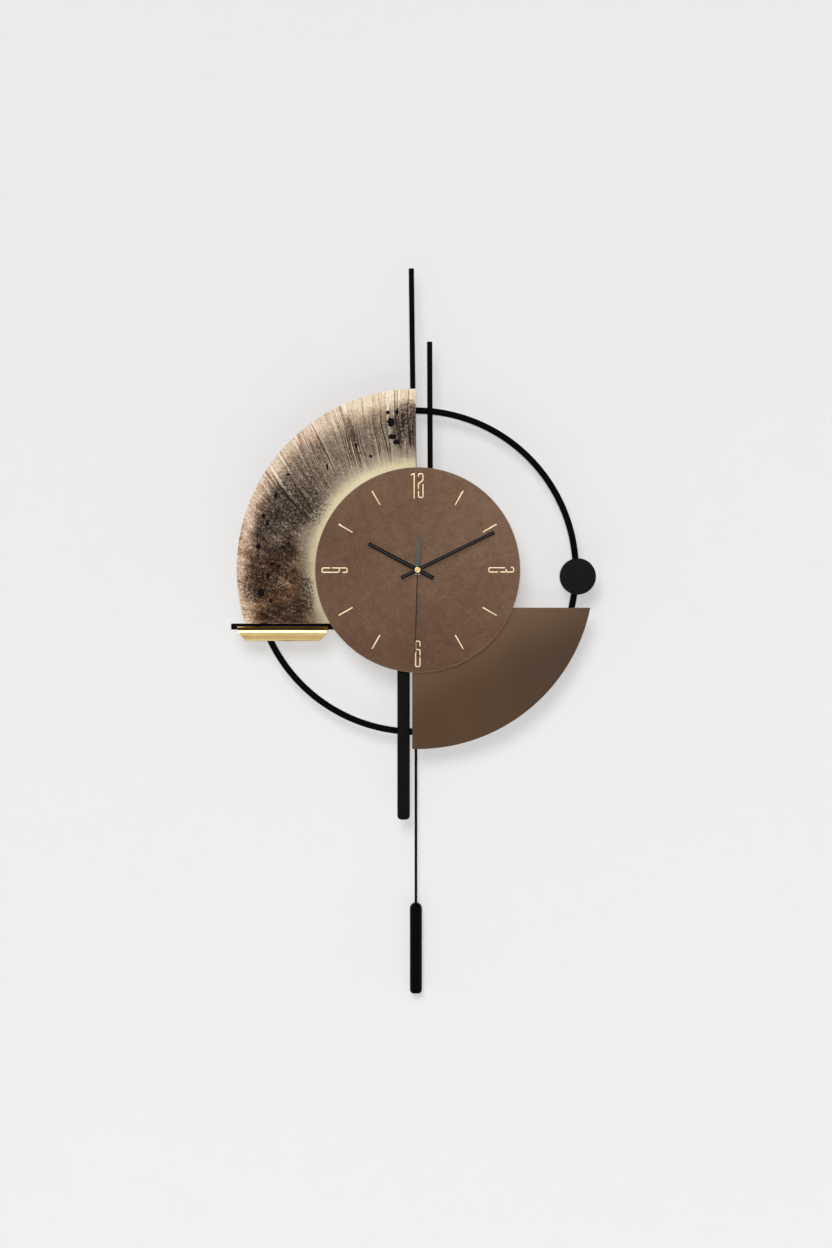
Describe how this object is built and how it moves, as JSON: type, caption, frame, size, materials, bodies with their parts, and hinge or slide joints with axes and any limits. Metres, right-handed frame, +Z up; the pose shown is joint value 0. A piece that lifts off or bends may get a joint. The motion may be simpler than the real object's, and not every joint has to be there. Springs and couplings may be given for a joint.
{
  "type": "pendulum wall clock",
  "caption": "Wall clock with an open rod frame, two sector panels, a small gilt trough and a round dial, whose hands and hanging pendulum move.",
  "frame": {"origin": "middle of the hanger's keyhole, on the wall plane", "axes": "+Z up the wall, +Y into the wall so the dial faces -Y, +X to the right as seen from the room"},
  "size_m": [0.4523, 0.0565, 0.9001],
  "materials": {
    "black_frame": "satin black powder coat",
    "black_accent": "satin black",
    "board": "raw fibreboard",
    "wood_print": "printed burl-wood film, satin",
    "brown_lacquer": "satin brown lacquer",
    "gilt": "polished gilt",
    "pale_gilt": "pale champagne gilt, satin",
    "dial_leather": "mottled brown leatherette",
    "zinc": "zinc plated",
    "nickel": "bright nickel",
    "black_rubber": "matt",
    "hand_black": "satin black enamel",
    "needle_grey": "grey enamel",
    "black_case": "moulded black",
    "white_gear": "moulded acetal",
    "ferrite": "sintered magnet",
    "soft_iron": "punched lamination",
    "copper": "enamelled copper wire",
    "board_green": "printed circuit board",
    "battery_label": "printed steel jacket",
    "bob_black": "gloss black",
    "pin_steel": "ground"
  },
  "bodies": {
    "clock_frame": {"ring_rod": "black_frame", "tall_rod": "black_frame", "short_rod": "black_frame", "horizon_rod": "black_frame", "hanging_bar": "black_frame", "mounting_plate": "black_frame", "panel_tabs": "black_frame", "panel_screws": "zinc", "wood_panel_board": "board", "wood_panel_print": "wood_print", "brown_panel": "brown_lacquer", "accent_disc": "black_accent", "accent_stud": "black_frame", "gold_trough": "gilt", "standoff_posts": "black_frame", "rubber_feet": "black_rubber", "hanger_bracket": "zinc", "hanger_rivets": "zinc", "dial_board": "board", "dial_leather": "dial_leather", "dial_screws": "zinc", "dial_spacers": "zinc", "numerals": "pale_gilt", "hour_batons": "pale_gilt", "washer": "nickel", "hex_nut": "nickel", "movement_case": "black_case", "movement_cover": "black_case", "gasket": "black_rubber", "stator": "soft_iron", "coil_bobbin": "white_gear", "coil_winding": "copper", "circuit_board": "board_green", "battery_contacts": "nickel", "drive_case": "black_case", "drive_cover": "black_case", "pivot_pin": "pin_steel", "drive_coil": "copper"},
    "minute_stack": {"minute_hand": "hand_black", "cannon_pinion": "white_gear", "clutch_spring": "pin_steel"},
    "hour_stack": {"hour_hand": "hand_black", "hour_wheel": "white_gear"},
    "second_stack": {"second_hand": "needle_grey", "second_hand_cap": "gilt", "second_wheel": "white_gear"},
    "step_rotor": {"rotor_pinion": "white_gear", "rotor_magnet": "ferrite"},
    "step_gear": {"step_wheel": "white_gear"},
    "third_gear": {"third_wheel": "white_gear"},
    "centre_gear": {"centre_wheel": "white_gear"},
    "motion_gear": {"motion_wheel": "white_gear"},
    "time_setter": {"setting_shaft": "white_gear", "setting_knob": "black_case"},
    "pendulum": {"pendulum_lever": "white_gear", "lever_magnet": "ferrite", "hook_pin": "pin_steel", "pendulum_rod": "black_frame", "pendulum_bob": "bob_black"},
    "cell": {"battery": "battery_label"}
  },
  "joints": [
    {"name": "second_hand_spin", "type": "hinge", "parent": "clock_frame", "child": "second_stack", "pos_m": [0, -0.045, -0.068], "axis": [0, 1, 0], "continuous": true},
    {"name": "rotor_spin", "type": "hinge", "parent": "clock_frame", "child": "step_rotor", "pos_m": [0.01476, -0.025, -0.06873], "axis": [0, 1, 0], "continuous": true},
    {"name": "step_wheel_spin", "type": "hinge", "parent": "clock_frame", "child": "step_gear", "pos_m": [0.00902, -0.025, -0.06472], "axis": [0, 1, 0], "continuous": true},
    {"name": "third_wheel_spin", "type": "hinge", "parent": "clock_frame", "child": "third_gear", "pos_m": [-0.00797, -0.027, -0.0634], "axis": [0, 1, 0], "continuous": true},
    {"name": "centre_wheel_spin", "type": "hinge", "parent": "clock_frame", "child": "centre_gear", "pos_m": [0, -0.029, -0.068], "axis": [0, 1, 0], "continuous": true},
    {"name": "minute_hand_spin", "type": "hinge", "parent": "clock_frame", "child": "minute_stack", "pos_m": [0, -0.045, -0.068], "axis": [0, 1, 0], "continuous": true},
    {"name": "motion_wheel_spin", "type": "hinge", "parent": "clock_frame", "child": "motion_gear", "pos_m": [-0.0036, -0.031, -0.07423], "axis": [0, 1, 0], "continuous": true},
    {"name": "hour_hand_spin", "type": "hinge", "parent": "clock_frame", "child": "hour_stack", "pos_m": [0, -0.045, -0.068], "axis": [0, 1, 0], "continuous": true},
    {"name": "setting_knob_spin", "type": "hinge", "parent": "clock_frame", "child": "time_setter", "pos_m": [-0.0072, -0.025, -0.08047], "axis": [0, 1, 0], "continuous": true},
    {"name": "pendulum_swing", "type": "hinge", "parent": "clock_frame", "child": "pendulum", "pos_m": [-0.0021, -0.01, -0.094], "axis": [0, 1, 0], "range_deg": [-8, 8]},
    {"name": "battery_slide", "type": "slide", "parent": "clock_frame", "child": "cell", "axis": [0, 1, 0], "range_m": [0, 0.018]}
  ],
  "couplings": [
    {"joint": "rotor_spin", "follows": "second_hand_spin", "ratio": 30},
    {"joint": "step_wheel_spin", "follows": "second_hand_spin", "ratio": -5},
    {"joint": "third_wheel_spin", "follows": "second_hand_spin", "ratio": -0.125},
    {"joint": "centre_wheel_spin", "follows": "second_hand_spin", "ratio": 0.016667},
    {"joint": "motion_wheel_spin", "follows": "minute_hand_spin", "ratio": -0.33333},
    {"joint": "hour_hand_spin", "follows": "minute_hand_spin", "ratio": 0.083333},
    {"joint": "setting_knob_spin", "follows": "minute_hand_spin", "ratio": 1}
  ]
}
